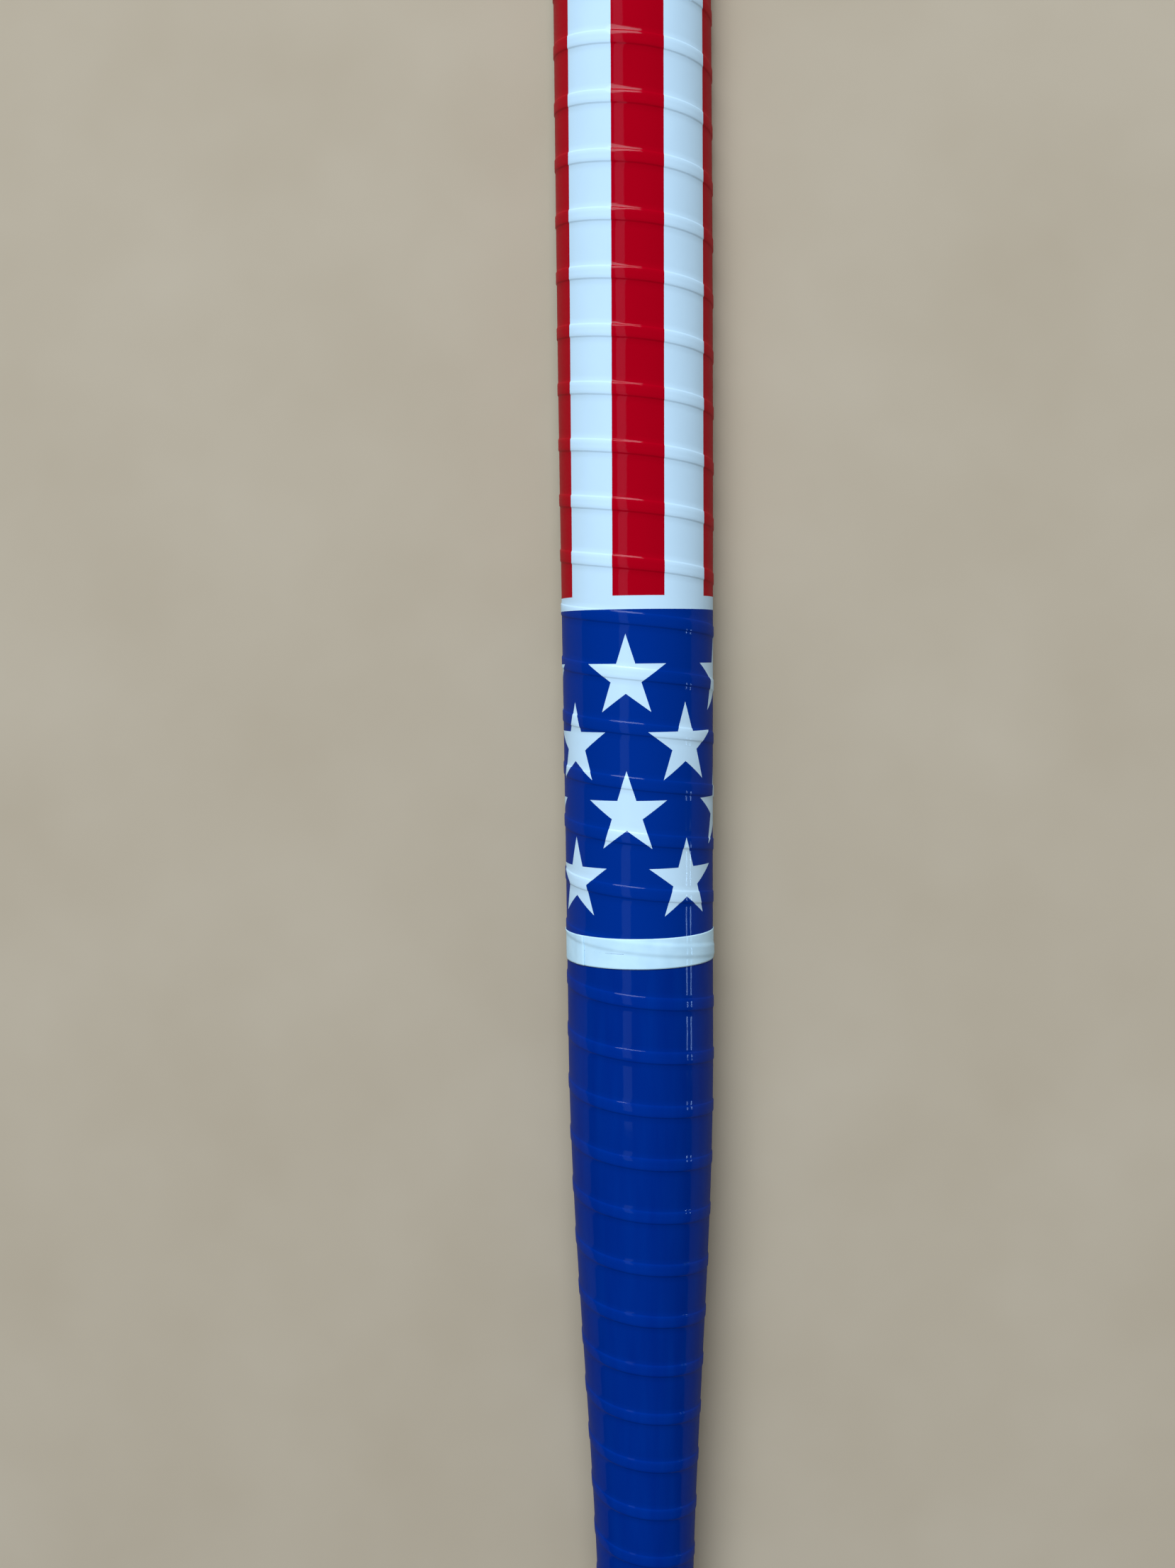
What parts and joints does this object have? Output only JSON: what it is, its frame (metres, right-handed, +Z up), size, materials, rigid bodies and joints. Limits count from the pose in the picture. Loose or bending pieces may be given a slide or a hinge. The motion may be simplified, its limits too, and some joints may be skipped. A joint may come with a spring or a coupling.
{
  "type": "field hockey stick",
  "caption": "Spliced wooden field hockey stick with a flat-faced hooked head, a rounded back, a tapering shaft in striped and starred film, and a wound grip.",
  "frame": {"origin": "middle of the whole stick's box, on the ground plane that the flat face of the head and the grip lie on", "axes": "+Y along the shaft from the butt to the head, +Z up out of the rounded back and square to the playing face, +X away from the toe"},
  "size_m": [0.1184, 0.927, 0.0336],
  "materials": {
    "mulberry_light": "oiled laminated mulberry",
    "mulberry_dark": "oiled laminated mulberry",
    "cane": "split and planed cane",
    "spring_rubber": "black sheet rubber",
    "waxed_twine": "waxed linen twine",
    "glass_tape": "glass tape set in resin",
    "painted_head": "glass fibre sock, painted in red and white stripes and lacquered",
    "striped_film": "printed film with red stripes and white stars under gloss lacquer",
    "blue_film": "deep blue film under gloss lacquer",
    "white_band": "white gloss film strip",
    "cushion_foam": "closed-cell foam tape",
    "grip_polyurethane": "wound tacky polyurethane tape",
    "collar_tape": "stretched vinyl finishing tape",
    "cap_plastic": "moulded satin plastic"
  },
  "bodies": {
    "root": {"mulberry_strip_1": "mulberry_light", "mulberry_strip_2": "mulberry_dark", "mulberry_strip_3": "mulberry_light", "mulberry_strip_4": "mulberry_dark", "mulberry_strip_5": "mulberry_light", "mulberry_strip_6": "mulberry_dark", "mulberry_strip_7": "mulberry_light", "mulberry_strip_8": "mulberry_dark", "handle_cane_1": "cane", "handle_cane_2": "cane", "handle_cane_3": "cane", "handle_cane_4": "cane", "rubber_spring_1": "spring_rubber", "rubber_spring_2": "spring_rubber", "rubber_spring_3": "spring_rubber", "splice_whipping": "waxed_twine", "glass_tape_wrap": "glass_tape", "head_glass_sock": "painted_head", "flag_film": "striped_film", "blue_film": "blue_film", "white_ring_band": "white_band", "grip_cushion": "cushion_foam", "grip_tape": "grip_polyurethane", "grip_collar": "collar_tape", "butt_cap": "cap_plastic"}
  },
  "joints": []
}
